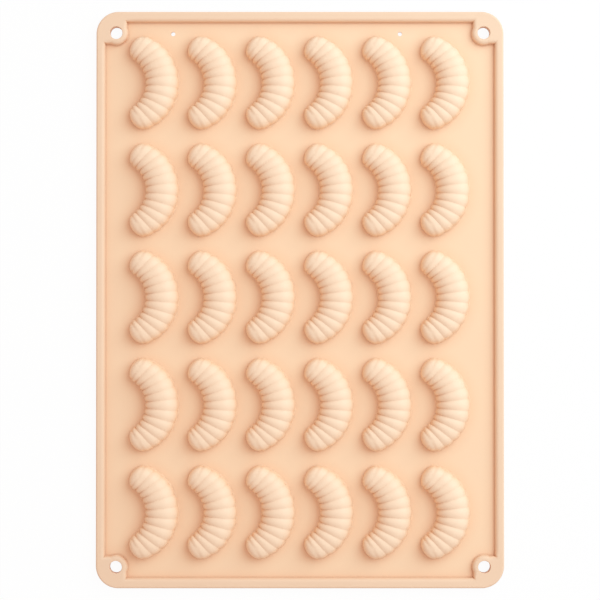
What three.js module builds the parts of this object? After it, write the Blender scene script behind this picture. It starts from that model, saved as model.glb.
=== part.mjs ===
// A silicone mould for small crescent cakes, lying open side down with its cups bulging up.
// Millimetres, +Z up, +X across the columns of cups, +Y along the rows towards the hanging edge.
// The origin is at the middle of the flat open face that the mould rests on.

import * as THREE from 'three';

// Driving dimensions of one cup, measured on its outside. Each cross-section is an arch that
// stands on the sheet, and the arches follow a bowed spine from tip to tip.
const SPINE_RADIUS = 23.8;
const SPINE_DRAW_IN = 2.2;
const HALF_WIDTH_MIDDLE = 8.55;
const HALF_WIDTH_TIP = 6.7;
const CROWN_MIDDLE = 10;
const CROWN_TIP = 8;
const TIP_LENGTH = 4;
const TAPER_POWER = 2.1;
const CUP_WALL = 1.2;

// Ribs across each cup: one in the middle and the same number on either side of it.
// The last rib on each side is the smooth rounded tip.
const RIBS_EACH_SIDE = 6;
const RIB_STEP = THREE.MathUtils.degToRad(11.6);
const RIB_TIGHTENING = THREE.MathUtils.degToRad(0.2);
const GROOVE_AT_FOOT = 0.6;
const GROOVE_AT_CROWN = 0.55;

// The pattern of cups and the free margins of sheet round it.
const COLUMNS = 6;
const ROWS = 5;
const COLUMN_GAP = 4.75;
const ROW_GAP = 6.4;
const MARGIN_TOP = 6.9;
const MARGIN_BOTTOM = 9.2;
const EYELETS_TO_FIRST_COLUMN = 0.75;
const LAST_COLUMN_TO_EYELETS = 1.15;

// The sheet and the raised rim on its edge.
const SHEET_THICKNESS = 1.5;
const SIDE_RIM_WIDTH = 4.5;
const END_RIM_WIDTH = 5.2;
const RIM_RISE = 3.5;
const RIM_ROUNDING = 1.2;
const CORNER_RADIUS = 11.5;

// The hanging eyelet in each corner: a round boss on a short neck, flush with the rim.
const EYELET_HOLE_RADIUS = 3.2;
const EYELET_WALL = 2.9;
const EYELET_NECK = 1.4;
const CORNER_TAIL = 3.6;

// Two small vent holes in the sheet below the top rim, each to the right of one cup's middle.
const VENT_RADIUS = 1.1;
const VENT_DROP = 5.9;
const VENTS = [
  { column: 0, rightOfCup: 9.7 },
  { column: COLUMNS - 2, rightOfCup: 6.8 },
];

// How finely round stretches are divided.
const ARCH_SEGMENTS = 4;
const TIP_STATIONS = [0.35, 0.75];
const CORNER_SEGMENTS = 6;
const BOSS_SEGMENTS = 10;
const ROUNDING_SEGMENTS = 2;
const EYELET_HOLE_SEGMENTS = 20;
const VENT_SEGMENTS = 8;

const SILICONE = { color: 0xf2c8a2, roughness: 0.55, metalness: 0 };

// Geometry helpers

function pieceFrom(name, geometry) {
  const piece = new THREE.Mesh(geometry, new THREE.MeshStandardMaterial(SILICONE));
  piece.name = name;
  return piece;
}

function geometryFrom(points, triangles) {
  const geometry = new THREE.BufferGeometry();
  geometry.setFromPoints(points);
  geometry.setIndex(triangles.flat());
  geometry.computeVertexNormals();
  return geometry;
}

function arcPoints(centre, radius, from, to, segments) {
  const points = [];
  for (let step = 0; step <= segments; step += 1) {
    const angle = from + ((to - from) * step) / segments;
    points.push(new THREE.Vector2(
      centre.x + radius * Math.cos(angle),
      centre.y + radius * Math.sin(angle),
    ));
  }
  return points;
}

function circlePoints(centre, radius, segments) {
  return arcPoints(centre, radius, 0, 2 * Math.PI, segments).slice(0, -1);
}

// Two triangles for the four-sided patch whose corners are given anticlockwise from outside.
function patch(a, b, c, d) {
  return [[a, b, c], [a, c, d]];
}

// A solid through outlines of equal point count stacked upwards, with one straight hole.
function stackedSolid(levels, hole) {
  const count = levels[0].outline.length;
  const points = levels.flatMap(({ z, outline }) => outline.map((p) => new THREE.Vector3(p.x, p.y, z)));
  const holeStart = points.length;
  const bottom = levels[0];
  const top = levels[levels.length - 1];
  for (const { z } of [bottom, top]) {
    points.push(...hole.map((p) => new THREE.Vector3(p.x, p.y, z)));
  }
  const triangles = [];
  for (let level = 0; level + 1 < levels.length; level += 1) {
    for (let i = 0; i < count; i += 1) {
      const low = level * count;
      const next = (i + 1) % count;
      triangles.push(...patch(low + i, low + next, low + count + next, low + count + i));
    }
  }
  for (let i = 0; i < hole.length; i += 1) {
    const next = (i + 1) % hole.length;
    const high = holeStart + hole.length;
    triangles.push(...patch(holeStart + next, holeStart + i, high + i, high + next));
  }
  const capIndex = (i, outlineStart, ringStart) => (
    i < count ? outlineStart + i : ringStart + i - count
  );
  for (const [a, b, c] of THREE.ShapeUtils.triangulateShape(bottom.outline, [hole])) {
    triangles.push([c, b, a].map((i) => capIndex(i, 0, holeStart)));
  }
  const topStart = (levels.length - 1) * count;
  for (const face of THREE.ShapeUtils.triangulateShape(top.outline, [hole])) {
    triangles.push(face.map((i) => capIndex(i, topStart, holeStart + hole.length)));
  }
  return geometryFrom(points, triangles);
}

// The crescent cup

// Angle about the spine's centre of rib number k; halves lie in the grooves between ribs.
function ribAngle(k) {
  return Math.sign(k) * (RIB_STEP * Math.abs(k) - RIB_TIGHTENING * k * k);
}

const BODY_ANGLE = ribAngle(RIBS_EACH_SIDE - 0.5);

// A size that changes slowly near the cup's middle and faster towards its tips.
function taper(angle, middle, tip) {
  return middle + (tip - middle) * (Math.abs(angle) / BODY_ANGLE) ** TAPER_POWER;
}

function spineRadiusAt(angle) {
  return taper(angle, SPINE_RADIUS, SPINE_RADIUS - SPINE_DRAW_IN);
}

// The cross-sections of the cup from tip to tip, drawn in by the wall for the inside.
function cupSections(drawnIn) {
  const sections = [];
  const lastGroove = 2 * RIBS_EACH_SIDE - 1;
  for (let half = -lastGroove; half <= lastGroove; half += 1) {
    const angle = ribAngle(half / 2);
    const inGroove = half % 2 !== 0;
    const width = taper(angle, HALF_WIDTH_MIDDLE, HALF_WIDTH_TIP);
    const crown = taper(angle, CROWN_MIDDLE, CROWN_TIP);
    sections.push({
      angle,
      onRib: !inGroove,
      spine: spineRadiusAt(angle),
      halfWidth: width - drawnIn - (inGroove ? GROOVE_AT_FOOT : 0),
      crown: crown - drawnIn - (inGroove ? GROOVE_AT_CROWN : 0),
    });
  }
  const tipSpine = spineRadiusAt(BODY_ANGLE);
  const tipAngle = (TIP_LENGTH - drawnIn) / tipSpine;
  for (const station of TIP_STATIONS) {
    const rounding = Math.sqrt(1 - station * station);
    const tipSection = (side) => ({
      angle: side * (BODY_ANGLE + station * tipAngle),
      onRib: true,
      spine: tipSpine,
      halfWidth: (HALF_WIDTH_TIP - drawnIn) * rounding,
      crown: (CROWN_TIP - drawnIn) * rounding,
    });
    sections.unshift(tipSection(-1));
    sections.push(tipSection(1));
  }
  return { sections, tipSpine, endAngle: BODY_ANGLE + tipAngle };
}

function fromSpineCentre(radius, angle) {
  return new THREE.Vector2(radius * Math.cos(angle), radius * Math.sin(angle));
}

// The foot outline of the cup, anticlockwise: out along the bowed side and back along the hollow.
function footOutline({ sections, tipSpine, endAngle }) {
  const bowed = sections.map((s) => fromSpineCentre(s.spine + s.halfWidth, s.angle));
  const hollow = sections.map((s) => fromSpineCentre(s.spine - s.halfWidth, s.angle));
  return [
    ...bowed,
    fromSpineCentre(tipSpine, endAngle),
    ...hollow.reverse(),
    fromSpineCentre(tipSpine, -endAngle),
  ];
}

const outside = cupSections(0);
const inside = cupSections(CUP_WALL);
const cupBounds = new THREE.Box2().setFromPoints(footOutline(outside));
const cupSize = cupBounds.getSize(new THREE.Vector2());

// The mouth in the sheet under a cup runs from rib to rib of the cup's inside.
const mouthOutline = footOutline({ ...inside, sections: inside.sections.filter((s) => s.onRib) });

// Points of one skin of the cup: the arches in order, then the two tip ends.
function skinPoints({ sections, tipSpine, endAngle }) {
  const points = [];
  for (const { angle, spine, halfWidth, crown } of sections) {
    for (let step = 0; step <= ARCH_SEGMENTS; step += 1) {
      const turn = (Math.PI * step) / ARCH_SEGMENTS;
      const flat = fromSpineCentre(spine + halfWidth * Math.cos(turn), angle);
      const onFoot = step === 0 || step === ARCH_SEGMENTS;
      const rise = onFoot ? 0 : crown * Math.sin(turn);
      points.push(new THREE.Vector3(flat.x, flat.y, SHEET_THICKNESS + rise));
    }
  }
  for (const angle of [-endAngle, endAngle]) {
    const flat = fromSpineCentre(tipSpine, angle);
    points.push(new THREE.Vector3(flat.x, flat.y, SHEET_THICKNESS));
  }
  return points;
}

function skinTriangles(sectionCount) {
  const row = ARCH_SEGMENTS + 1;
  const firstEnd = sectionCount * row;
  const lastRow = firstEnd - row;
  const triangles = [];
  for (let i = 0; i < ARCH_SEGMENTS; i += 1) {
    for (let section = 0; section + 1 < sectionCount; section += 1) {
      const here = section * row + i;
      triangles.push(...patch(here, here + row, here + row + 1, here + 1));
    }
    triangles.push([firstEnd, i, i + 1]);
    triangles.push([lastRow + i + 1, lastRow + i, firstEnd + 1]);
  }
  return triangles;
}

// Indices of the foot points of one skin, in the order of footOutline.
function footIndices(sectionCount) {
  const row = ARCH_SEGMENTS + 1;
  const bowed = Array.from({ length: sectionCount }, (_, section) => section * row);
  const hollow = bowed.map((index) => index + ARCH_SEGMENTS).reverse();
  return [...bowed, sectionCount * row + 1, ...hollow, sectionCount * row];
}

function cupGeometry() {
  const count = outside.sections.length;
  const outer = skinPoints(outside);
  const inner = skinPoints(inside);
  const triangles = skinTriangles(count);
  for (const [a, b, c] of skinTriangles(count)) {
    triangles.push([outer.length + c, outer.length + b, outer.length + a]);
  }
  const foot = footIndices(count);
  for (let i = 0; i < foot.length; i += 1) {
    const here = foot[i];
    const next = foot[(i + 1) % foot.length];
    triangles.push(...patch(here, outer.length + here, outer.length + next, next));
  }
  return geometryFrom([...outer, ...inner], triangles);
}

// Overall layout, worked out from the cups outwards

const columnPitch = cupSize.x + COLUMN_GAP;
const rowPitch = cupSize.y + ROW_GAP;
const patternWidth = COLUMNS * columnPitch - COLUMN_GAP;
const patternLength = ROWS * rowPitch - ROW_GAP;
const bossRadius = EYELET_HOLE_RADIUS + EYELET_WALL;
const eyeletBehindRim = EYELET_NECK + bossRadius * Math.SQRT1_2;
const eyeletReach = SIDE_RIM_WIDTH + eyeletBehindRim + bossRadius;
const sideClearances = EYELETS_TO_FIRST_COLUMN + LAST_COLUMN_TO_EYELETS;
const mouldWidth = patternWidth + sideClearances + 2 * eyeletReach;
const mouldLength = patternLength + MARGIN_TOP + MARGIN_BOTTOM + 2 * END_RIM_WIDTH;
const rimTop = SHEET_THICKNESS + RIM_RISE;

// Where the spine's centre of the cup in a row and column lies. Row 0 is next to the top rim.
function cupCentre(row, column) {
  const left = -mouldWidth / 2 + eyeletReach + EYELETS_TO_FIRST_COLUMN + column * columnPitch;
  const top = mouldLength / 2 - END_RIM_WIDTH - MARGIN_TOP - row * rowPitch;
  return new THREE.Vector2(left - cupBounds.min.x, top - cupBounds.max.y);
}

const cupMiddleX = (cupBounds.min.x + cupBounds.max.x) / 2;

function ventCentre({ column, rightOfCup }) {
  return new THREE.Vector2(
    cupCentre(0, column).x + cupMiddleX + rightOfCup,
    mouldLength / 2 - END_RIM_WIDTH - VENT_DROP,
  );
}

// The rim, made of four straight bars between four eyelet corners

const widestRim = Math.max(SIDE_RIM_WIDTH, END_RIM_WIDTH);
const narrowestRim = Math.min(SIDE_RIM_WIDTH, END_RIM_WIDTH);
const cornerReach = Math.max(widestRim + eyeletBehindRim + bossRadius, CORNER_RADIUS) + CORNER_TAIL;

// The hole's centre in a corner whose rims run along X and along Y with the given widths.
function eyeletCentre(alongX, alongY) {
  return new THREE.Vector2(alongY + eyeletBehindRim, alongX + eyeletBehindRim);
}

function eyeletHole(alongX, alongY) {
  return circlePoints(eyeletCentre(alongX, alongY), EYELET_HOLE_RADIUS, EYELET_HOLE_SEGMENTS);
}

// Heights up the side of the rim, with how far its rounded top edge is set in at each.
function rimLevels() {
  const rounding = Math.min(RIM_ROUNDING, RIM_RISE / 2, narrowestRim / 3);
  const levels = [{ z: SHEET_THICKNESS, inset: 0 }];
  for (let step = 0; step <= ROUNDING_SEGMENTS; step += 1) {
    const turn = (Math.PI / 2) * (step / ROUNDING_SEGMENTS);
    levels.push({
      z: rimTop - rounding * (1 - Math.sin(turn)),
      inset: rounding * (1 - Math.cos(turn)),
    });
  }
  return levels;
}

// A straight bar of the rim along +X, its outer face on y = 0.
function rimBarGeometry(length, width) {
  const levels = rimLevels();
  const outerSide = levels.map(({ z, inset }) => new THREE.Vector2(inset, z));
  const innerSide = levels.map(({ z, inset }) => new THREE.Vector2(width - inset, z)).reverse();
  const section = new THREE.Shape([...outerSide, ...innerSide]);
  const bar = new THREE.ExtrudeGeometry(section, { depth: length, bevelEnabled: false });
  const alongX = new THREE.Matrix4().makeBasis(
    new THREE.Vector3(0, 1, 0),
    new THREE.Vector3(0, 0, 1),
    new THREE.Vector3(1, 0, 0),
  );
  return bar.applyMatrix4(alongX);
}

// The outline of an eyelet corner whose sharp outer corner would be at the origin.
function cornerOutline(inset, alongX, alongY) {
  const roundCentre = new THREE.Vector2(CORNER_RADIUS, CORNER_RADIUS);
  const eyelet = eyeletCentre(alongX, alongY);
  const boss = bossRadius - inset;
  const neck = boss * Math.SQRT1_2;
  return [
    new THREE.Vector2(inset, cornerReach),
    ...arcPoints(roundCentre, CORNER_RADIUS - inset, Math.PI, 1.5 * Math.PI, CORNER_SEGMENTS),
    new THREE.Vector2(cornerReach, inset),
    new THREE.Vector2(cornerReach, alongX - inset),
    new THREE.Vector2(eyelet.x + neck, alongX - inset),
    ...arcPoints(eyelet, boss, -0.25 * Math.PI, 0.75 * Math.PI, BOSS_SEGMENTS),
    new THREE.Vector2(alongY - inset, eyelet.y + neck),
    new THREE.Vector2(alongY - inset, cornerReach),
  ];
}

function eyeletCornerGeometry(alongX, alongY) {
  const levels = rimLevels().map(({ z, inset }) => ({
    z,
    outline: cornerOutline(inset, alongX, alongY),
  }));
  return stackedSolid(levels, eyeletHole(alongX, alongY));
}

// The flat sheet that carries everything, with the mouths of the cups cut through it.

function sheetGeometry(corners) {
  const outline = new THREE.Shape();
  const roundCentre = new THREE.Vector2(CORNER_RADIUS, CORNER_RADIUS);
  const edge = [];
  const holes = [];
  for (const { at, quarterTurns, alongX, alongY } of corners) {
    const place = (p) => p.clone().rotateAround(new THREE.Vector2(), quarterTurns * Math.PI / 2).add(at);
    const round = arcPoints(roundCentre, CORNER_RADIUS, Math.PI, 1.5 * Math.PI, CORNER_SEGMENTS);
    edge.push(...round.map(place));
    holes.push(eyeletHole(alongX, alongY).map(place));
  }
  outline.setFromPoints(edge);
  for (let row = 0; row < ROWS; row += 1) {
    for (let column = 0; column < COLUMNS; column += 1) {
      const centre = cupCentre(row, column);
      holes.push(mouthOutline.map((p) => p.clone().add(centre)));
    }
  }
  for (const vent of VENTS) {
    holes.push(circlePoints(ventCentre(vent), VENT_RADIUS, VENT_SEGMENTS));
  }
  outline.holes = holes.map((points) => new THREE.Path(points));
  return new THREE.ExtrudeGeometry(outline, { depth: SHEET_THICKNESS, bevelEnabled: false });
}

// The whole mould

const mould = new THREE.Group();

// Corners anticlockwise from bottom left, each turned so that the rim that starts there is along X.
const end = { length: mouldWidth, alongX: END_RIM_WIDTH, alongY: SIDE_RIM_WIDTH };
const side = { length: mouldLength, alongX: SIDE_RIM_WIDTH, alongY: END_RIM_WIDTH };
const corners = [
  { corner: 'bottom_left', rim: 'bottom', x: -1, y: -1, ...end },
  { corner: 'bottom_right', rim: 'right', x: 1, y: -1, ...side },
  { corner: 'top_right', rim: 'top', x: 1, y: 1, ...end },
  { corner: 'top_left', rim: 'left', x: -1, y: 1, ...side },
].map((entry, quarterTurns) => ({
  ...entry,
  quarterTurns,
  at: new THREE.Vector2(entry.x * mouldWidth / 2, entry.y * mouldLength / 2),
}));

mould.add(pieceFrom('base_sheet', sheetGeometry(corners)));

for (const { corner, rim, at, quarterTurns, length, alongX, alongY } of corners) {
  const edge = new THREE.Group();
  edge.position.set(at.x, at.y, 0);
  edge.rotation.z = quarterTurns * Math.PI / 2;
  edge.add(pieceFrom(`eyelet_corner_${corner}`, eyeletCornerGeometry(alongX, alongY)));
  const bar = pieceFrom(`rim_${rim}`, rimBarGeometry(length - 2 * cornerReach, alongX));
  bar.position.x = cornerReach;
  edge.add(bar);
  mould.add(edge);
}

const cup = cupGeometry();
for (let row = 0; row < ROWS; row += 1) {
  for (let column = 0; column < COLUMNS; column += 1) {
    const piece = pieceFrom(`crescent_cup_r${row + 1}_c${column + 1}`, cup);
    const centre = cupCentre(row, column);
    piece.position.set(centre.x, centre.y, 0);
    mould.add(piece);
  }
}

export default mould;
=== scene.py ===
"""A silicone mould for small crescent cakes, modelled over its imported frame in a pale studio."""

import math

import bmesh
import bpy
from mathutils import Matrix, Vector


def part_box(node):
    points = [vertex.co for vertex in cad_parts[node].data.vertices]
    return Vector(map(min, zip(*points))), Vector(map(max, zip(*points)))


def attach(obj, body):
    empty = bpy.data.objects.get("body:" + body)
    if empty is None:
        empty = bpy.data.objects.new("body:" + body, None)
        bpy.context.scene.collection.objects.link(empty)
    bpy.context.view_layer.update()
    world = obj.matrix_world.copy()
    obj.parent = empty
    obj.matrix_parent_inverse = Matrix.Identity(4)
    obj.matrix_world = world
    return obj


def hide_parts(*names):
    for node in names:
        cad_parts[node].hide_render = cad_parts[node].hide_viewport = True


bl_info = {
    "name": "Crescent cake mould",
    "version": (1, 0, 0),
    "blender": (4, 5, 0),
    "location": "View3D > Sidebar > Mould",
    "description": "Models a silicone mould for small crescent cakes and the studio it is seen in",
    "category": "Add Mesh",
}

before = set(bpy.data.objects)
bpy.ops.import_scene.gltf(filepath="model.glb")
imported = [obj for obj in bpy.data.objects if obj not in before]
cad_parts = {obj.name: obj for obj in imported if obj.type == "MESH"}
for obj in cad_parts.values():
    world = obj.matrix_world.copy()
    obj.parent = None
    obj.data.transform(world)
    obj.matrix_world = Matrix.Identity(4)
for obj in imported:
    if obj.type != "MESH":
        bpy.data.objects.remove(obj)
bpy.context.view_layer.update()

MM = 0.001
NEAR = 0.01 * MM
UP = Vector((0, 0, 1))
MATERIAL = "soft_silicone"
THICK = "thick_silicone"
CUPS = sorted(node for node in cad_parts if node.startswith("crescent_cup"))

# Fineness of the meshes

RIB_STATIONS = (0.2, 0.36, 0.46, 0.5, 0.54, 0.64, 0.8, 1.0)
FILLET_SEGMENTS = 4
ROUNDING_SEGMENTS = 6
HOLE_ROUNDING_SEGMENTS = 3
UNDERSIDE_SEGMENTS = 2
CORNER_SEGMENTS = 20
EYELET_SEGMENTS = 64
VENT_SEGMENTS = 24
SHARP = math.radians(50)

# Limits used in the modelling

OUTLINE_STEP = 0.05 * MM
CUT_PAST = 2.0 * MM
LEVEL_NORMAL = 0.9
ROUND_POWER = 2

# Fine structure of the silicone, with noise as scale and detail

SILICONE_IOR = 1.41
CLOUD_NOISE = (35.0, 4.0)
GLOSS_NOISE = (220.0, 3.0)
GLOSS_SPREAD = 0.06
GRAIN_NOISE = (1400.0, 3.0)
GRAIN_STRENGTH = 0.25
OPEN_SIDE_SAMPLES = 8

# The studio's floor

FLOOR_SIZE = 6.0
FLOOR_DROP = 0.1 * MM
FLOOR_COLOUR = (0.9, 0.9, 0.9, 1)
FLOOR_ROUGHNESS = 0.9

# Sizes and colours that a user would change


def length(name, millimetres, description):
    return bpy.props.FloatProperty(
        name=name, description=description, default=millimetres * MM,
        min=0.0, unit="LENGTH", precision=5)


def turn(name, degrees, description):
    return bpy.props.FloatProperty(
        name=name, description=description, default=math.radians(degrees), subtype="ANGLE")


def share(name, default, description, highest=1.0):
    return bpy.props.FloatProperty(
        name=name, description=description, default=default, min=0.0, max=highest, precision=4)


def count(name, default, description):
    return bpy.props.IntProperty(name=name, description=description, default=default, min=1)


def colour(name, default, description):
    return bpy.props.FloatVectorProperty(
        name=name, description=description, default=default,
        size=3, subtype="COLOR", min=0.0, max=1.0)


class MouldCupSizes(bpy.types.PropertyGroup):
    """Shape of one crescent cup, whose arches follow a bowed spine."""
    spine_radius: length("Spine radius", 23.8, "Radius of the bowed spine at the cup's middle")
    spine_draw_in: length("Spine draw-in", 2.2, "How much tighter the spine is at the tips")
    half_width: length("Half width", 8.55, "Half width of the foot at the cup's middle")
    tip_half_width: length(
        "Half width at the tips", 6.7, "Half width of the foot where the tips begin")
    tip_length: length("Tip length", 5.6, "How far a rounded tip reaches past the last arch")
    crown: length("Crown", 10.0, "Height of the middle arch above the sheet")
    tip_crown: length("Crown at the tips", 8.0, "Height of the arch where the tips begin")
    taper_power: share("Taper power", 2.1, "How late along the spine the cup narrows", 6.0)
    rib_step: turn("Rib step", 11.6, "Angle from the middle rib to its neighbour")
    rib_tightening: turn("Rib tightening", 0.2, "How much closer the ribs get towards the tips")
    ribs_each_side: count(
        "Ribs each side", 6, "Ribs on either side of the middle one, the tip included")
    fullness: share("Fullness", 0.35, "How much flatter and fuller than round the arches are", 4.0)
    tip_fullness: share(
        "Tip fullness", 0.5, "How much fuller still the cup gets towards the tips", 4.0)
    groove_inside: length("Groove inside", 0.8, "Depth of the grooves on the cup's hollow side")
    groove_at_crown: length("Groove at the crown", 0.55, "Depth of the grooves on the crown")
    groove_outside: length("Groove outside", 0.5, "Depth of the grooves on the cup's outer side")
    groove_at_foot: length("Groove at the foot", 0.4, "Depth of the grooves along the foot")
    groove_rise: length(
        "Groove rise", 2.5, "Height over the foot where the grooves have their full depth")
    groove_fade: share("Groove fade", 0.2, "How much shallower the grooves get towards the tips")
    foot_fillet: length("Foot fillet", 0.45, "Radius where a cup runs out into the sheet")
    flange: length("Flange", 0.8, "Flat run of sheet round a cup that is moulded with it")
    wall: length("Wall", 1.2, "Thickness of a cup's wall")
    arch_segments: count("Arch segments", 16, "Steps over one arch")
    tip_segments: count("Tip segments", 36, "Steps round one rounded tip")


class MouldEdgeSizes(bpy.types.PropertyGroup):
    """The sheet, its rim and the hanging eyelets."""
    sheet: length("Sheet", 1.5, "Thickness of the flat sheet")
    corner_radius: length("Corner radius", 11.5, "Radius of the mould's outer corners")
    rim_rounding: length("Rim rounding", 1.0, "Radius along the rim's outer top edge")
    rim_inner_rounding: length("Inner rim rounding", 2.0, "Radius along the rim's inner top edge")
    rim_fillet: length("Rim fillet", 0.3, "Radius where the rim runs out into the sheet")
    eyelet_hole: length("Eyelet hole", 3.2, "Radius of the hole in an eyelet")
    eyelet_wall: length("Eyelet wall", 2.9, "Width of the ring round an eyelet's hole")
    eyelet_neck: length("Eyelet neck", 1.4, "Length of the neck between the rim and the ring")
    neck_width: share("Neck width", 0.9, "Width of the neck as a share of the ring's")
    hole_rounding: length("Hole rounding", 0.35, "Radius along the top edge of an eyelet's hole")
    underside_rounding: length("Underside rounding", 0.3, "Radius along the sheet's lower edge")
    vent: length("Vent", 1.1, "Radius of the two small vents")
    vent_places: bpy.props.FloatVectorProperty(
        name="Vent places", description="X of the left vent, X of the right vent and Y of both",
        default=(-65.6 * MM, 51.7 * MM, 137.4 * MM), size=3, unit="LENGTH")


class MouldFinish(bpy.types.PropertyGroup):
    """Look of the silicone, with painted sheen on raised forms and painted shade in creases and
    hollows.
    """
    body: colour("Body colour", (0.93, 0.673, 0.455), "Colour of the silicone on the sheet")
    thick: colour("Rim colour", (0.85, 0.615, 0.435), "Colour of the silicone on the thick rim")
    # The raised colour is painted sheen: forms are made paler the higher they stand over the sheet,
    # for the light they catch. The random clouds blend towards this same paler colour.
    raised: colour(
        "Raised colour", (0.935, 0.708, 0.512), "Paler colour that it fades to on raised forms")
    sheen_from_height: length("Fade from", 3.5, "Height where the paler colour sets in")
    sheen_full_height: length("Fade to", 9.0, "Height where the paler colour is full")
    clouds: share("Clouds", 0.2, "Strength of the faint clouds of paler colour")
    # The crease colour is painted shade: narrow creases at the cups' feet, in the grooves and along
    # the rim are darkened where shade falls.
    crease: colour("Crease colour", (0.53, 0.28, 0.16), "Deeper colour in narrow creases")
    crease_reach: length("Crease reach", 1.0, "How far from a crease the deeper colour starts")
    # The hollow colour is painted shade: surfaces are darkened and reddened where tall forms stand
    # close round, where shade and warm bounced light fall.
    hollow: colour(
        "Hollow colour", (0.845, 0.51, 0.325), "Deeper colour where tall forms stand close round")
    hollow_reach: length("Hollow reach", 7.0, "How near tall forms stand where that colour starts")
    roughness: share("Roughness", 0.55, "Roughness of the moulded surface")
    grain_depth: length("Grain depth", 0.03, "Depth of the fine moulded grain")


class MouldStudio(bpy.types.PropertyGroup):
    """Camera, lamps and floor."""
    camera_height: length("Camera height", 1000.0, "Height of the camera above the floor")
    camera_aim: length("Camera aim", 0.2, "How far below the mould's middle the camera looks")
    camera_tilt: turn(
        "Camera tilt", 0.7, "How far the camera stands towards the mould's lower edge")
    frame_width: length("Frame width", 310.4, "Width of floor that the picture shows")
    key_power: bpy.props.FloatProperty(
        name="Key lamp", description="Power of the large soft lamp",
        default=8.7, min=0.0, unit="POWER")
    key_turn: turn("Key direction", 33.0, "Direction of the large lamp, from +X towards +Y")
    key_height: turn("Key height", 44.0, "Angle of the large lamp above the floor")
    key_distance: length("Key distance", 1000.0, "Distance of the large lamp")
    key_size: length("Key size", 1000.0, "Width of the large lamp")
    key_colour: colour("Key colour", (0.65, 0.90, 1.0), "Colour of the large soft lamp")
    sky: share("Sky light", 0.75, "Strength of the even light from all round", 2.0)
    sky_colour: colour("Sky colour", (1.0, 0.82, 0.753), "Colour of the even light from all round")
    floor_white: share("Floor white", 0.95, "Share of the floor that shows the camera plain white")


# Working in edit mode


def begin_piece(name):
    """A new empty mesh at the origin, open in edit mode."""
    if bpy.context.mode != "OBJECT":
        bpy.ops.object.mode_set(mode="OBJECT")
    bpy.ops.object.select_all(action="DESELECT")
    bpy.ops.object.add(type="MESH", enter_editmode=True, location=(0, 0, 0))
    piece = bpy.context.object
    piece.name = piece.data.name = name
    return piece


def take_up(piece):
    """Leave edit mode and make one piece the only one selected."""
    if bpy.context.mode != "OBJECT":
        bpy.ops.object.mode_set(mode="OBJECT")
    bpy.ops.object.select_all(action="DESELECT")
    bpy.context.view_layer.objects.active = piece
    piece.select_set(True)
    return piece


def pick(piece, kind, test):
    """Select in edit mode the vertices, edges or faces that pass a test, and nothing else."""
    bpy.ops.mesh.select_mode(type=kind)
    bpy.ops.mesh.select_all(action="DESELECT")
    mesh = bmesh.from_edit_mesh(piece.data)
    mesh.normal_update()
    for element in {"VERT": mesh.verts, "EDGE": mesh.edges, "FACE": mesh.faces}[kind]:
        if test(element):
            element.select_set(True)
    mesh.select_flush_mode()
    bmesh.update_edit_mesh(piece.data)


def face_outward():
    """Turn all normals of the mesh in edit mode outwards."""
    bpy.ops.mesh.select_all(action="SELECT")
    bpy.ops.mesh.normals_make_consistent(inside=False)


def middle(edge):
    """The point halfway along an edge."""
    return (edge.verts[0].co + edge.verts[1].co) / 2


def apply_modifier(piece, kind, **settings):
    """Give the active piece a modifier and apply it at once."""
    bpy.ops.object.modifier_add(type=kind)
    modifier = piece.modifiers[-1]
    for name, value in settings.items():
        setattr(modifier, name, value)
    bpy.ops.object.modifier_apply(modifier=modifier.name)


def combine(piece, tool, operation):
    """Add a closed tool to a piece or cut the piece with it, and throw the tool away."""
    take_up(piece)
    apply_modifier(piece, "BOOLEAN", object=tool, operation=operation, solver="EXACT")
    scrap(tool)
    take_up(piece)


def scrap(piece):
    """Delete a piece together with its mesh."""
    mesh = piece.data
    bpy.data.objects.remove(piece)
    bpy.data.meshes.remove(mesh)


def copy_of(piece, shift=(0, 0, 0), flip=(1, 1, 1)):
    """A copy with its own mesh, moved and mirrored in its mesh."""
    take_up(piece)
    bpy.ops.object.duplicate(linked=False)
    copy = bpy.context.object
    copy.location = shift
    copy.scale = flip
    bpy.ops.object.transform_apply(location=True, rotation=True, scale=True)
    if flip[0] * flip[1] * flip[2] < 0:
        bpy.ops.object.mode_set(mode="EDIT")
        face_outward()
        bpy.ops.object.mode_set(mode="OBJECT")
    return copy


def block(low, high):
    """A closed block between two corners."""
    piece = begin_piece("block")
    low, high = Vector(low), Vector(high)
    bpy.ops.mesh.primitive_cube_add(size=1.0, location=(low + high) / 2, scale=high - low)
    return take_up(piece)


def drum(centre, radius, low, high, segments):
    """A closed upright drum."""
    piece = begin_piece("drum")
    bpy.ops.mesh.primitive_cylinder_add(
        vertices=segments, radius=radius, depth=high - low,
        location=(centre[0], centre[1], (low + high) / 2))
    return take_up(piece)


# Shape of one cup


def rib_angle(cup, k):
    """Angle of rib number k from the cup's middle; halves lie in the grooves."""
    return cup.rib_step * k - cup.rib_tightening * k * k


def rib_number(cup, angle):
    """The number k that has this angle."""
    root = math.sqrt(cup.rib_step ** 2 - 4 * cup.rib_tightening * angle)
    return (cup.rib_step - root) / (2 * cup.rib_tightening)


class Arch:
    """One cross-section of a cup: where it stands on the spine and how large it is."""

    def __init__(self, cup, k):
        last_groove = rib_angle(cup, cup.ribs_each_side - 0.5)
        self.angle = rib_angle(cup, k)
        self.fade = (self.angle / last_groove) ** cup.taper_power
        self.spine = cup.spine_radius - cup.spine_draw_in * self.fade
        self.half_width = cup.half_width + (cup.tip_half_width - cup.half_width) * self.fade
        self.crown = cup.crown + (cup.tip_crown - cup.crown) * self.fade

    @property
    def outward(self):
        return Vector((math.cos(self.angle), math.sin(self.angle), 0))

    @property
    def onward(self):
        return UP.cross(self.outward)


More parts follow.
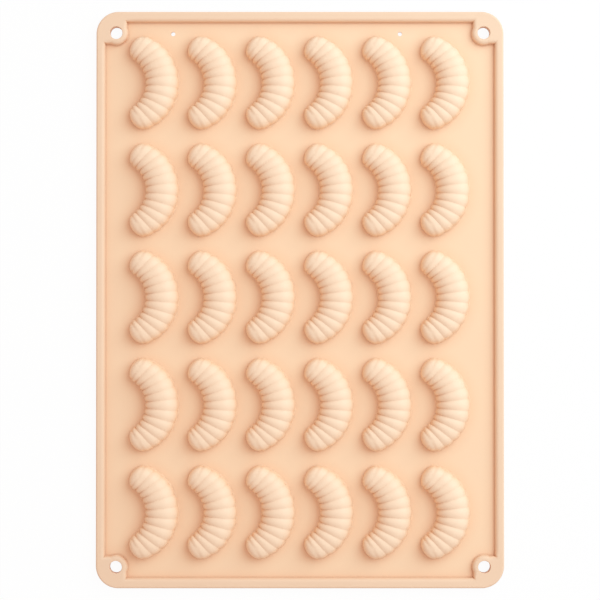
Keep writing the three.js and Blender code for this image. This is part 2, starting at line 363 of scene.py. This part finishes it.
def draw_profile(cup, sheet):
    """The middle arch with its foot fillets and flanges, standing across the spine."""
    piece = begin_piece("cup_skin")
    foot = sheet + cup.foot_fillet
    bpy.ops.mesh.primitive_circle_add(
        vertices=2 * cup.arch_segments, radius=cup.half_width,
        location=(0, 0, foot), rotation=(math.pi / 2, 0, 0))
    pick(piece, "VERT", lambda v: v.co.z < foot - NEAR or v.co.x < -NEAR)
    bpy.ops.mesh.delete(type="VERT")
    bpy.ops.mesh.select_all(action="SELECT")
    rise = (cup.crown - cup.foot_fillet) / cup.half_width
    bpy.ops.transform.resize(value=(1, 1, rise), center_override=(0, 0, foot))
    pick(piece, "VERT", lambda v: v.co.z < foot + NEAR)
    bpy.ops.mesh.spin(
        steps=FILLET_SEGMENTS, angle=math.pi / 2, axis=(0, 1, 0),
        center=(cup.half_width + cup.foot_fillet, 0, foot))
    bpy.ops.mesh.extrude_region_move(TRANSFORM_OT_translate={"value": (cup.flange, 0, 0)})
    take_up(piece)
    apply_modifier(piece, "MIRROR", use_axis=(True, False, False), merge_threshold=NEAR)
    bpy.ops.object.mode_set(mode="EDIT")
    bpy.ops.mesh.select_mode(type="VERT")
    bpy.ops.mesh.select_all(action="SELECT")
    bpy.ops.transform.translate(value=(cup.spine_radius, 0, 0))
    return piece


def carry_on(last, here, sheet):
    """Draw the selected arch on along the spine and bring it to its size there."""
    bpy.ops.mesh.spin(steps=1, angle=last.angle - here.angle, center=(0, 0, 0), axis=UP)
    bpy.ops.transform.translate(value=here.outward * (here.spine - last.spine))
    wider = here.half_width / last.half_width
    bpy.ops.transform.resize(
        value=(wider, wider, here.crown / last.crown),
        center_override=here.outward * here.spine + UP * sheet)


def above_foot(piece, cup, sheet):
    """Each vertex over the foot, with its rib number, its arch and its height over the foot."""
    mesh = bmesh.from_edit_mesh(piece.data)
    mesh.normal_update()
    for vertex in mesh.verts:
        k = rib_number(cup, abs(math.atan2(vertex.co.y, vertex.co.x)))
        here = Arch(cup, min(k, cup.ribs_each_side - 1))
        height = vertex.co.z - sheet - cup.foot_fillet * here.crown / cup.crown
        if height > -NEAR:
            yield vertex, k, here, max(height, 0)
    bmesh.update_edit_mesh(piece.data)


def fill_out_arches(piece, cup, sheet):
    """Turn the round arches into flatter, fuller ones, most of all towards the tips."""
    for vertex, _, here, height in above_foot(piece, cup, sheet):
        top = here.crown * (1 - cup.foot_fillet / cup.crown)
        share_up = min(height / top, 1)
        power = ROUND_POWER + cup.fullness + cup.tip_fullness * here.fade
        round_run = 1 - share_up ** ROUND_POWER
        fuller = (1 - round_run ** (power / ROUND_POWER)) ** (1 / power)
        vertex.co.z += top * fuller - height


def press_grooves(piece, cup, sheet):
    """Press the grooves in, deepest on the hollow side and shallow along the foot."""
    for vertex, k, here, height in above_foot(piece, cup, sheet):
        if k > cup.ribs_each_side:
            continue
        across = vertex.normal.dot(here.outward)
        side = cup.groove_outside if across > 0 else cup.groove_inside
        full = cup.groove_at_crown + (side - cup.groove_at_crown) * abs(across)
        depth = cup.groove_at_foot + (full - cup.groove_at_foot) * min(height / cup.groove_rise, 1)
        between_ribs = 1 - abs(math.cos(math.pi * k))
        vertex.co -= vertex.normal * depth * between_ribs * (1 - cup.groove_fade * here.fade)


def model_cup_skin(cup, sheet):
    """The outside of a cup round the spine's centre at the origin, with its fillet and flange."""
    piece = draw_profile(cup, sheet)
    tip = Arch(cup, 0)
    for rib in range(cup.ribs_each_side - 1):
        for part in RIB_STATIONS:
            here = Arch(cup, rib + part)
            carry_on(tip, here, sheet)
            tip = here
    centre = tip.outward * tip.spine
    ring = {tuple(v.co) for v in bmesh.from_edit_mesh(piece.data).verts if v.select}
    pick(piece, "VERT", lambda v: tuple(v.co) in ring and (v.co - centre).dot(tip.outward) > -NEAR)
    bpy.ops.mesh.spin(steps=cup.tip_segments, angle=-math.pi, center=centre, axis=UP)
    pick(piece, "VERT", lambda v: (v.co - centre).dot(tip.onward) > NEAR)
    bpy.ops.transform.resize(
        value=(1, cup.tip_length / tip.half_width, 1), center_override=centre,
        orient_type="GLOBAL", orient_matrix_type="GLOBAL",
        orient_matrix=(tip.outward, tip.onward, UP))
    bpy.ops.mesh.select_all(action="SELECT")
    bpy.ops.mesh.remove_doubles(threshold=NEAR)
    face_outward()
    fill_out_arches(piece, cup, sheet)
    press_grooves(piece, cup, sheet)
    take_up(piece)
    apply_modifier(piece, "MIRROR", use_axis=(False, True, False), merge_threshold=NEAR)
    bpy.ops.object.mode_set(mode="EDIT")
    face_outward()
    return take_up(piece)


def cup_places(cup):
    """Where the spine's centre of each cup lies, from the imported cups."""
    for node in CUPS:
        low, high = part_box(node)
        yield node, Vector((high.x - cup.spine_radius - cup.half_width, (low.y + high.y) / 2, 0))


# Shape of the rim and its eyelets


def flare(piece, radius):
    """Sweep the selected foot edges down and out in a fillet that ends flat on the sheet."""
    for step in range(FILLET_SEGMENTS):
        start = math.pi / 2 * step / FILLET_SEGMENTS
        end = math.pi / 2 * (step + 1) / FILLET_SEGMENTS
        drop = radius * (math.sin(end) - math.sin(start))
        bpy.ops.mesh.extrude_region_move(TRANSFORM_OT_translate={"value": (0, 0, -drop)})
        mesh = bmesh.from_edit_mesh(piece.data)
        mesh.normal_update()
        bmesh.update_edit_mesh(piece.data)
        bpy.ops.transform.shrink_fatten(
            value=radius * (math.cos(start) - math.cos(end)), use_even_offset=True)


def is_brink(e, top):
    """True for an edge between a level top face and an upright one."""
    level = [f for f in e.link_faces if f.normal.z > LEVEL_NORMAL]
    return len(e.link_faces) == 2 and len(level) == 1 and middle(e).z > top - NEAR


def finish_rim(piece, edge, foot, top, is_inner, is_end):
    """Round the top of an upright rim block, run its inner foot out into the sheet and close it."""
    take_up(piece)
    bpy.ops.object.mode_set(mode="EDIT")
    pick(piece, "FACE",
         lambda f: f.normal.z < -LEVEL_NORMAL or is_end(f.calc_center_median()))
    bpy.ops.mesh.delete(type="FACE")
    for inner, rounding in ((True, edge.rim_inner_rounding), (False, edge.rim_rounding)):
        pick(piece, "EDGE", lambda e: is_brink(e, top) and is_inner(middle(e)) == inner)
        bpy.ops.mesh.bevel(offset=rounding, segments=ROUNDING_SEGMENTS, affect="EDGES")

    def at_foot(e):
        return e.is_boundary and all(abs(v.co.z - foot) < NEAR for v in e.verts)

    pick(piece, "EDGE", lambda e: at_foot(e) and is_inner(middle(e)))
    flare(piece, edge.rim_fillet)
    pick(piece, "EDGE", lambda e: at_foot(e) and not is_inner(middle(e)))
    bpy.ops.mesh.extrude_region_move(TRANSFORM_OT_translate={"value": (0, 0, -edge.rim_fillet)})
    close_ends(piece, is_end)
    pick(piece, "EDGE", lambda e: e.is_boundary)
    bpy.ops.mesh.edge_face_add()
    face_outward()
    return take_up(piece)


def close_ends(piece, is_end):
    """Fill each open end of a rim block with one face."""
    mesh = bmesh.from_edit_mesh(piece.data)
    ends = {}
    for e in mesh.edges:
        if e.is_boundary and is_end(middle(e)):
            ends.setdefault(is_end(middle(e)), set()).add(e.index)
    for found in ends.values():
        pick(piece, "EDGE", lambda e: e.index in found)
        bpy.ops.mesh.edge_face_add()


def model_rim_bar(edge, node, along):
    """One straight bar of the rim in its packed place; along is the axis that it runs on."""
    low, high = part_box(node)
    foot = low.z + edge.rim_fillet
    across = 1 - along
    inner = high[across] if low[across] < 0 else low[across]
    piece = block((low.x, low.y, foot), high)

    def is_end(point):
        for limit in (low[along], high[along]):
            if abs(point[along] - limit) < NEAR:
                return str(limit)
        return ""

    return finish_rim(
        piece, edge, foot, high.z, lambda point: abs(point[across] - inner) < NEAR, is_end)


class EyeletPlan:
    """Plan of the corner at the bottom left, in its packed place."""

    def __init__(self, edge):
        self.low, self.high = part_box("eyelet_corner_bottom_left")
        self.rim = Vector((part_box("rim_left")[1].x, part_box("rim_bottom")[1].y, 0))
        self.boss = edge.eyelet_hole + edge.eyelet_wall
        self.neck = self.boss * edge.neck_width
        behind = edge.eyelet_neck + self.boss * math.sqrt(0.5)
        self.eyelet = self.rim + Vector((behind, behind, 0))


def model_eyelet_corner(edge):
    """The eyelet corner at the bottom left: two arms of rim, a neck and a ring."""
    plan = EyeletPlan(edge)
    low, high, rim, eyelet = plan.low, plan.high, plan.rim, plan.eyelet
    foot, top = low.z + edge.rim_fillet, high.z
    corner = Vector((low.x, low.y, 0))
    piece = block((low.x, low.y, foot), high)
    bpy.ops.object.mode_set(mode="EDIT")
    pick(piece, "EDGE", lambda e: all((v.co - corner).xy.length < NEAR for v in e.verts))
    bpy.ops.mesh.bevel(offset=edge.corner_radius, segments=CORNER_SEGMENTS, affect="EDGES")
    take_up(piece)

    def past(times):
        return foot - times * CUT_PAST, top + times * CUT_PAST

    below, above = past(1)
    bay = block((rim.x, rim.y, below), (high.x + CUT_PAST, high.y + CUT_PAST, above))
    combine(bay, drum(eyelet, plan.boss, *past(2), EYELET_SEGMENTS), "DIFFERENCE")
    for times, reach in ((3, Vector((plan.neck, 0, 0))), (4, Vector((0, plan.neck, 0)))):
        below, above = past(times)
        stop = eyelet + reach
        neck = block((rim.x - CUT_PAST, rim.y - CUT_PAST, below), (stop.x, stop.y, above))
        combine(bay, neck, "DIFFERENCE")
    combine(piece, bay, "DIFFERENCE")
    round_centre = corner + Vector((edge.corner_radius, edge.corner_radius, 0))

    def is_outer(point):
        in_round = max(point.x - round_centre.x, point.y - round_centre.y) < NEAR
        on_round = (point - round_centre).xy.length > edge.corner_radius - OUTLINE_STEP
        return min(point.x - low.x, point.y - low.y) < NEAR or (in_round and on_round)

    def is_end(point):
        if abs(point.x - high.x) < NEAR:
            return "x"
        return "y" if abs(point.y - high.y) < NEAR else ""

    finish_rim(piece, edge, foot, top, lambda point: not is_outer(point), is_end)
    combine(piece, drum(eyelet, edge.eyelet_hole, *past(1), EYELET_SEGMENTS), "DIFFERENCE")
    bpy.ops.object.mode_set(mode="EDIT")
    reach = edge.eyelet_hole + OUTLINE_STEP
    pick(piece, "EDGE", lambda e: is_brink(e, top) and (middle(e) - eyelet).xy.length < reach)
    bpy.ops.mesh.bevel(offset=edge.hole_rounding, segments=HOLE_ROUNDING_SEGMENTS, affect="EDGES")
    return take_up(piece)


# Shape of the sheet


def mouth_cutter(cup, edge):
    """An upright cutter with the outline of one cup's flange."""
    skin = model_cup_skin(cup, edge.sheet)
    bpy.ops.object.mode_set(mode="EDIT")
    pick(skin, "FACE", lambda f: True)
    bpy.ops.mesh.region_to_loop()
    bpy.ops.mesh.select_all(action="INVERT")
    bpy.ops.mesh.delete(type="EDGE")
    bpy.ops.mesh.select_all(action="SELECT")
    bpy.ops.transform.translate(value=(0, 0, -edge.sheet - CUT_PAST))
    bpy.ops.mesh.edge_face_add()
    bpy.ops.mesh.extrude_region_move(
        TRANSFORM_OT_translate={"value": (0, 0, edge.sheet + 2 * CUT_PAST)})
    face_outward()
    return take_up(skin)


def model_sheet(cup, edge):
    """The flat sheet with rounded corners, the mouths of the cups, the eyelets and the vents."""
    low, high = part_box("base_sheet")
    piece = block(low, high)
    bpy.ops.object.mode_set(mode="EDIT")
    pick(piece, "EDGE", lambda e: abs(e.verts[0].co.z - e.verts[1].co.z) > NEAR)
    bpy.ops.mesh.bevel(offset=edge.corner_radius, segments=CORNER_SEGMENTS, affect="EDGES")
    pick(piece, "EDGE", lambda e: all(v.co.z < low.z + NEAR for v in e.verts))
    bpy.ops.mesh.bevel(
        offset=edge.underside_rounding, segments=UNDERSIDE_SEGMENTS, affect="EDGES")
    take_up(piece)
    below, above = low.z - CUT_PAST, high.z + CUT_PAST
    cutter = mouth_cutter(cup, edge)
    cutters = [copy_of(cutter, place) for node, place in cup_places(cup)]
    scrap(cutter)
    plan = EyeletPlan(edge)
    for across in (-1, 1):
        for along in (-1, 1):
            centre = (across * plan.eyelet.x, along * plan.eyelet.y)
            cutters.append(drum(centre, edge.eyelet_hole, below, above, EYELET_SEGMENTS))
    left, right, row = edge.vent_places
    for centre in ((left, row), (right, row)):
        cutters.append(drum(centre, edge.vent, below, above, VENT_SEGMENTS))
    take_up(cutters[0])
    for tool in cutters:
        tool.select_set(True)
    bpy.ops.object.join()
    combine(piece, cutters[0], "DIFFERENCE")
    return piece


# Silicone


def silicone(finish):
    """Soft matt silicone with faint clouds of colour and a fine moulded grain, with painted sheen
    on raised forms and painted shade in creases and hollows.
    """
    material = bpy.data.materials.get(MATERIAL)
    if material:
        return material
    material = bpy.data.materials.new(MATERIAL)
    material.use_nodes = True
    nodes, links = material.node_tree.nodes, material.node_tree.links
    shader = nodes["Principled BSDF"]
    shader.inputs["IOR"].default_value = SILICONE_IOR
    place = nodes.new("ShaderNodeTexCoord").outputs["Object"]

    def noise(scale, detail):
        node = nodes.new("ShaderNodeTexNoise")
        node.inputs["Scale"].default_value = scale
        node.inputs["Detail"].default_value = detail
        links.new(place, node.inputs["Vector"])
        return node.outputs["Fac"]

    def spread(value, low, high):
        """Stretch a value from 0 to 1 over the range from low to high."""
        node = nodes.new("ShaderNodeMapRange")
        node.inputs["To Min"].default_value = low
        node.inputs["To Max"].default_value = high
        links.new(value, node.inputs["Value"])
        return node.outputs["Result"]

    def blend(first, second, factor):
        """Mix two paints, each of them a colour or the output of a node."""
        node = nodes.new("ShaderNodeMix")
        node.data_type = "RGBA"
        for name, paint in (("A", first), ("B", second)):
            if isinstance(paint, bpy.types.NodeSocket):
                links.new(paint, node.inputs[name])
            else:
                node.inputs[name].default_value = (*paint, 1)
        links.new(factor, node.inputs["Factor"])
        return node.outputs["Result"]

    def paint_occlusion_shade(paint, deeper, reach):
        """Mix a darker colour in as painted shade where other surfaces stand within reach."""
        open_sides = nodes.new("ShaderNodeAmbientOcclusion")
        open_sides.samples = OPEN_SIDE_SAMPLES
        open_sides.inputs["Distance"].default_value = reach
        return blend(deeper, paint, open_sides.outputs["AO"])

    # Painted sheen: the colour grows paler with height over the sheet. Random clouds of the same
    # paler colour are added to that share.
    apart = nodes.new("ShaderNodeSeparateXYZ")
    links.new(place, apart.inputs["Vector"])
    height = nodes.new("ShaderNodeMapRange")
    height.interpolation_type = "SMOOTHSTEP"
    height.inputs["From Min"].default_value = finish.sheen_from_height
    height.inputs["From Max"].default_value = finish.sheen_full_height
    links.new(apart.outputs["Z"], height.inputs["Value"])
    sheen_and_cloud_share = nodes.new("ShaderNodeMath")
    sheen_and_cloud_share.operation = "ADD"
    sheen_and_cloud_share.use_clamp = True
    links.new(height.outputs["Result"], sheen_and_cloud_share.inputs[0])
    links.new(spread(noise(*CLOUD_NOISE), -finish.clouds, finish.clouds), sheen_and_cloud_share.inputs[1])
    on_rim = nodes.new("ShaderNodeAttribute")
    on_rim.attribute_name = THICK
    plain = blend(finish.body, finish.thick, on_rim.outputs["Fac"])
    sheen_and_clouds_paint = blend(plain, finish.raised, sheen_and_cloud_share.outputs[0])
    # Painted shade in the hollows round the cups, from occlusion within the hollow reach.
    hollow_shade_paint = paint_occlusion_shade(sheen_and_clouds_paint, finish.hollow, finish.hollow_reach)
    # Painted shade in narrow creases, from occlusion within the crease reach.
    creases = paint_occlusion_shade(hollow_shade_paint, finish.crease, finish.crease_reach)
    links.new(creases, shader.inputs["Base Color"])

    dull = spread(
        noise(*GLOSS_NOISE), finish.roughness - GLOSS_SPREAD, finish.roughness + GLOSS_SPREAD)
    links.new(dull, shader.inputs["Roughness"])

    grain = nodes.new("ShaderNodeBump")
    grain.inputs["Strength"].default_value = GRAIN_STRENGTH
    grain.inputs["Distance"].default_value = finish.grain_depth
    links.new(noise(*GRAIN_NOISE), grain.inputs["Height"])
    links.new(grain.outputs["Normal"], shader.inputs["Normal"])
    return material


def dress(piece, node, settings, on_rim=False):
    """Smooth a finished piece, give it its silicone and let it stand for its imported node."""
    take_up(piece)
    bpy.ops.object.shade_smooth_by_angle(angle=SHARP)
    if on_rim:
        apply_modifier(piece, "WEIGHTED_NORMAL", keep_sharp=True)
        thick = piece.data.attributes.new(THICK, "FLOAT", "POINT")
        thick.data.foreach_set("value", [1.0] * len(piece.data.vertices))
    piece.name = piece.data.name = "soft_" + node
    piece.data.materials.clear()
    piece.data.materials.append(silicone(settings.mould_finish))
    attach(piece, "root")
    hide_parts(node)


# Operators, one for each group of like pieces and one for the studio


class MOULD_OT_crescent_cups(bpy.types.Operator):
    """Model the ribbed crescent cups"""
    bl_idname = "mould.crescent_cups"
    bl_label = "Crescent cups"

    def execute(self, context):
        scene = context.scene
        cup, edge = scene.mould_cup, scene.mould_edge
        skin = model_cup_skin(cup, edge.sheet)
        walls = skin.vertex_groups.new(name="wall")
        for vertex in skin.data.vertices:
            on_flange = vertex.co.z < edge.sheet + NEAR
            walls.add([vertex.index], 1.0 if on_flange else cup.wall / edge.sheet, "REPLACE")
        apply_modifier(
            skin, "SOLIDIFY", thickness=edge.sheet, offset=-1.0,
            use_even_offset=True, vertex_group="wall")
        bpy.ops.object.mode_set(mode="EDIT")
        pick(skin, "VERT", lambda v: v.co.z < NEAR)
        bpy.ops.transform.resize(value=(1, 1, 0), center_override=(0, 0, 0))
        take_up(skin)
        for node, place in cup_places(cup):
            dress(copy_of(skin, place), node, scene)
        scrap(skin)
        return {"FINISHED"}


class MOULD_OT_base_sheet(bpy.types.Operator):
    """Model the flat sheet that carries the cups"""
    bl_idname = "mould.base_sheet"
    bl_label = "Base sheet"

    def execute(self, context):
        scene = context.scene
        dress(model_sheet(scene.mould_cup, scene.mould_edge), "base_sheet", scene)
        return {"FINISHED"}


class MOULD_OT_rim_bars(bpy.types.Operator):
    """Model the straight bars of the raised rim"""
    bl_idname = "mould.rim_bars"
    bl_label = "Rim bars"

    def execute(self, context):
        scene = context.scene
        bottom = model_rim_bar(scene.mould_edge, "rim_bottom", 0)
        left = model_rim_bar(scene.mould_edge, "rim_left", 1)
        top = copy_of(bottom, flip=(1, -1, 1))
        right = copy_of(left, flip=(-1, 1, 1))
        for piece, side in ((bottom, "bottom"), (top, "top"), (left, "left"), (right, "right")):
            dress(piece, "rim_" + side, scene, on_rim=True)
        return {"FINISHED"}


class MOULD_OT_eyelet_corners(bpy.types.Operator):
    """Model the corners of the rim with their hanging eyelets"""
    bl_idname = "mould.eyelet_corners"
    bl_label = "Eyelet corners"

    def execute(self, context):
        scene = context.scene
        first = model_eyelet_corner(scene.mould_edge)
        corners = {
            "bottom_left": first,
            "bottom_right": copy_of(first, flip=(-1, 1, 1)),
            "top_right": copy_of(first, flip=(-1, -1, 1)),
            "top_left": copy_of(first, flip=(1, -1, 1)),
        }
        for place, piece in corners.items():
            dress(piece, "eyelet_corner_" + place, scene, on_rim=True)
        return {"FINISHED"}


class MOULD_OT_studio(bpy.types.Operator):
    """Set up the pale floor, the soft lamps and the camera"""
    bl_idname = "mould.studio"
    bl_label = "Studio"

    def execute(self, context):
        scene = context.scene
        studio = scene.mould_studio
        scene.view_settings.view_transform = "Standard"
        self.lay_floor(studio)
        self.light(scene, studio)
        self.aim_camera(scene, studio)
        return {"FINISHED"}

    def seen_directly(self, nodes, links):
        """1 for rays from the camera and for mirror or glass rays, else 0."""
        path = nodes.new("ShaderNodeLightPath")
        total = path.outputs["Is Camera Ray"]
        for name in ("Is Glossy Ray", "Is Transmission Ray"):
            either = nodes.new("ShaderNodeMath")
            either.operation = "MAXIMUM"
            links.new(total, either.inputs[0])
            links.new(path.outputs[name], either.inputs[1])
            total = either.outputs[0]
        return total

    def lay_floor(self, studio):
        """A wide floor that the camera sees nearly white, with a soft shadow."""
        floor = begin_piece("floor")
        bpy.ops.mesh.primitive_plane_add(size=FLOOR_SIZE, location=(0, 0, -FLOOR_DROP))
        take_up(floor)
        material = bpy.data.materials.new("pale_floor")
        material.use_nodes = True
        nodes, links = material.node_tree.nodes, material.node_tree.links
        paint = nodes["Principled BSDF"]
        paint.inputs["Base Color"].default_value = FLOOR_COLOUR
        paint.inputs["Roughness"].default_value = FLOOR_ROUGHNESS
        white = nodes.new("ShaderNodeEmission")
        part = nodes.new("ShaderNodeMath")
        part.operation = "MULTIPLY"
        part.inputs[1].default_value = studio.floor_white
        links.new(self.seen_directly(nodes, links), part.inputs[0])
        blend = nodes.new("ShaderNodeMixShader")
        links.new(part.outputs[0], blend.inputs["Fac"])
        links.new(paint.outputs[0], blend.inputs[1])
        links.new(white.outputs[0], blend.inputs[2])
        links.new(blend.outputs[0], nodes["Material Output"].inputs["Surface"])
        floor.data.materials.append(material)

    def light(self, scene, studio):
        """A warm sky all round and one large, cooler lamp from the upper right."""
        world = bpy.data.worlds.new("studio_sky")
        world.use_nodes = True
        nodes, links = world.node_tree.nodes, world.node_tree.links
        sky = nodes["Background"]
        sky.inputs["Color"].default_value = (*studio.sky_colour, 1)
        sky.inputs["Strength"].default_value = studio.sky
        white = nodes.new("ShaderNodeBackground")
        white.inputs["Color"].default_value = (1, 1, 1, 1)
        blend = nodes.new("ShaderNodeMixShader")
        path = nodes.new("ShaderNodeLightPath")
        links.new(path.outputs["Is Camera Ray"], blend.inputs["Fac"])
        links.new(sky.outputs[0], blend.inputs[1])
        links.new(white.outputs[0], blend.inputs[2])
        links.new(blend.outputs[0], nodes["World Output"].inputs["Surface"])
        scene.world = world
        level = math.cos(studio.key_height)
        towards = Vector((
            math.cos(studio.key_turn) * level,
            math.sin(studio.key_turn) * level,
            math.sin(studio.key_height)))
        bpy.ops.object.light_add(
            type="AREA", location=towards * studio.key_distance,
            rotation=towards.to_track_quat("Z", "Y").to_euler())
        lamp = bpy.context.object
        lamp.name = "key_lamp"
        lamp.data.size = studio.key_size
        lamp.data.energy = studio.key_power
        lamp.data.color = studio.key_colour

    def aim_camera(self, scene, studio):
        """A camera almost straight above the mould."""
        tilt = studio.camera_tilt
        place = Vector((0, -math.sin(tilt), math.cos(tilt))) * studio.camera_height
        place.y -= studio.camera_aim
        bpy.ops.object.camera_add(location=place, rotation=(tilt, 0, 0))
        camera = bpy.context.object
        camera.name = "photo_camera"
        camera.data.lens = camera.data.sensor_width * studio.camera_height / studio.frame_width
        scene.camera = camera


class MOULD_PT_sidebar(bpy.types.Panel):
    """Lists the mould's steps and sizes"""
    bl_idname = "MOULD_PT_sidebar"
    bl_label = "Crescent cake mould"
    bl_space_type = "VIEW_3D"
    bl_region_type = "UI"
    bl_category = "Mould"

    def draw(self, context):
        for operator in OPERATORS:
            self.layout.operator(operator.bl_idname)
        for settings in SETTINGS:
            box = self.layout.box()
            group = getattr(context.scene, settings)
            for name in group.__annotations__:
                box.prop(group, name)


OPERATORS = (
    MOULD_OT_crescent_cups,
    MOULD_OT_base_sheet,
    MOULD_OT_rim_bars,
    MOULD_OT_eyelet_corners,
    MOULD_OT_studio,
)
SETTINGS = {
    "mould_cup": MouldCupSizes,
    "mould_edge": MouldEdgeSizes,
    "mould_finish": MouldFinish,
    "mould_studio": MouldStudio,
}


def register():
    for group in (*SETTINGS.values(), *OPERATORS, MOULD_PT_sidebar):
        bpy.utils.register_class(group)
    for name, group in SETTINGS.items():
        setattr(bpy.types.Scene, name, bpy.props.PointerProperty(type=group))


def unregister():
    for name in SETTINGS:
        delattr(bpy.types.Scene, name)
    for group in (MOULD_PT_sidebar, *reversed(OPERATORS), *SETTINGS.values()):
        bpy.utils.unregister_class(group)


def main():
    register()
    bpy.ops.mould.crescent_cups()
    bpy.ops.mould.base_sheet()
    bpy.ops.mould.rim_bars()
    bpy.ops.mould.eyelet_corners()
    bpy.ops.mould.studio()


if __name__ == "__main__":
    main()
